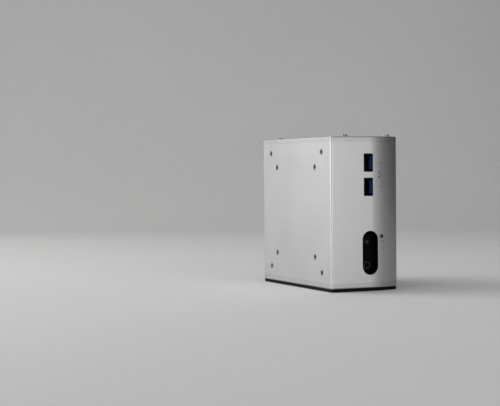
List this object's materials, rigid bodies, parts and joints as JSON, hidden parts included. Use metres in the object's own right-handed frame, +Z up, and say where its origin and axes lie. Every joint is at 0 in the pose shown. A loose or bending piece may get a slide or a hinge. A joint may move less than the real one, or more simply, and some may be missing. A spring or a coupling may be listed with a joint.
{
  "type": "mini pc",
  "caption": "Small desktop computer in a silver aluminium sleeve with end caps, front sockets, a dark oval recess with a power button, and wall-mount threads.",
  "frame": {"origin": "centre of the underside of the black base plate, under the middle of the casing's box", "axes": "+Z up along the sleeve, -Y out of the front port face, -X out of the wall-mount face with the threaded inserts"},
  "size_m": [0.066, 0.135, 0.1291],
  "materials": {
    "sleeve_aluminium": "fine bead-blasted satin, anodised silver grey",
    "cap_aluminium": "fine bead-blasted satin, anodised silver grey",
    "base_plastic": "moulded black, lightly textured",
    "casing_screws": "plated steel, turned",
    "black_screws": "black zinc",
    "insert_steel": "plated steel",
    "rear_plate_paint": "black powder coat",
    "socket_steel": "tin-plated sheet",
    "jack_steel": "nickel-plated sheet",
    "tongue_blue": "moulded blue",
    "tongue_black": "moulded black",
    "recess_plastic": "black, semi-gloss",
    "button_plastic": "black, satin with a fine edge",
    "connector_plastic": "moulded black",
    "light_pipe_plastic": "smoke-tinted clear",
    "led_plastic": "white chip package",
    "pin_metal": "plated",
    "tray_steel": "galvanised sheet",
    "drive_case": "stamped and anodised",
    "standoff_brass": "turned",
    "board_laminate": "solder mask over glass laminate",
    "card_laminate": "solder mask over glass laminate",
    "antenna_laminate": "flexible laminate",
    "processor_metal": "polished die on a laminate carrier",
    "copper": "drawn copper",
    "fin_aluminium": "rolled sheet",
    "fan_plastic": "glass-filled, moulded",
    "rotor_plastic": "glass-filled, moulded",
    "stator_metal": "laminated core with windings",
    "cell_steel": "stainless can",
    "inductor_ferrite": "pressed iron powder",
    "lead_jacket": "extruded black jacket",
    "ribbon_film": "amber flexible film with copper tracks",
    "capacitor_metal": "aluminium can"
  },
  "bodies": {
    "case": {"antenna_leads": "lead_jacket", "antennas": "antenna_laminate", "base_plate": "base_plastic", "board_screws": "casing_screws", "board_standoffs": "standoff_brass", "bottom_cap_screws": "casing_screws", "bottom_end_cap": "cap_aluminium", "capacitors": "capacitor_metal", "card_sockets": "connector_plastic", "chassis_tray": "tray_steel", "coin_cell": "cell_steel", "coin_cell_holder": "connector_plastic", "cold_plate": "copper", "cooler_screws": "black_screws", "dc_inlet": "connector_plastic", "dc_inlet_pin": "pin_metal", "displayport_shell": "socket_steel", "displayport_tongue": "tongue_black", "drive_bracket": "tray_steel", "drive_ribbon": "ribbon_film", "ethernet_jack": "jack_steel", "fan_cover": "tray_steel", "fan_housing": "fan_plastic", "fan_lead": "lead_jacket", "fan_stator": "stator_metal", "fin_stack": "fin_aluminium", "front_usb_shell_lower": "socket_steel", "front_usb_shell_upper": "socket_steel", "front_usb_tongue_lower": "tongue_blue", "front_usb_tongue_upper": "tongue_blue", "hdmi_shell": "socket_steel", "hdmi_tongue": "tongue_black", "headset_jack": "connector_plastic", "heat_pipe_inner": "copper", "heat_pipe_outer": "copper", "indicator_led": "led_plastic", "light_pipe": "light_pipe_plastic", "memory_module_far_from_board": "card_laminate", "memory_module_near_board": "card_laminate", "memory_socket": "connector_plastic", "motherboard": "board_laminate", "outer_sleeve": "sleeve_aluminium", "power_inductors": "inductor_ferrite", "power_switch": "connector_plastic", "processor": "processor_metal", "radio_card": "card_laminate", "rear_io_plate": "rear_plate_paint", "rear_plate_screws": "black_screws", "rear_usb_shell": "socket_steel", "rear_usb_tongues": "tongue_blue", "recess_tray": "recess_plastic", "solid_state_drive": "drive_case", "storage_card": "card_laminate", "top_cap_screws": "casing_screws", "top_end_cap": "cap_aluminium", "vesa_inserts_100": "insert_steel", "vesa_inserts_75": "insert_steel"},
    "power_button": {"power_button": "button_plastic", "switch_plunger": "tongue_black"},
    "fan_rotor": {"fan_rotor": "rotor_plastic"}
  },
  "joints": [
    {"name": "power_button_press", "type": "slide", "parent": "case", "child": "power_button", "axis": [0, 1, 0], "range_m": [0, 0.0008], "stiffness_N_per_m": 2000, "springref_m": -0.0003},
    {"name": "fan_spin", "type": "hinge", "parent": "case", "child": "fan_rotor", "pos_m": [0.013, -0.002, 0.086], "axis": [1, 0, 0], "continuous": true}
  ]
}
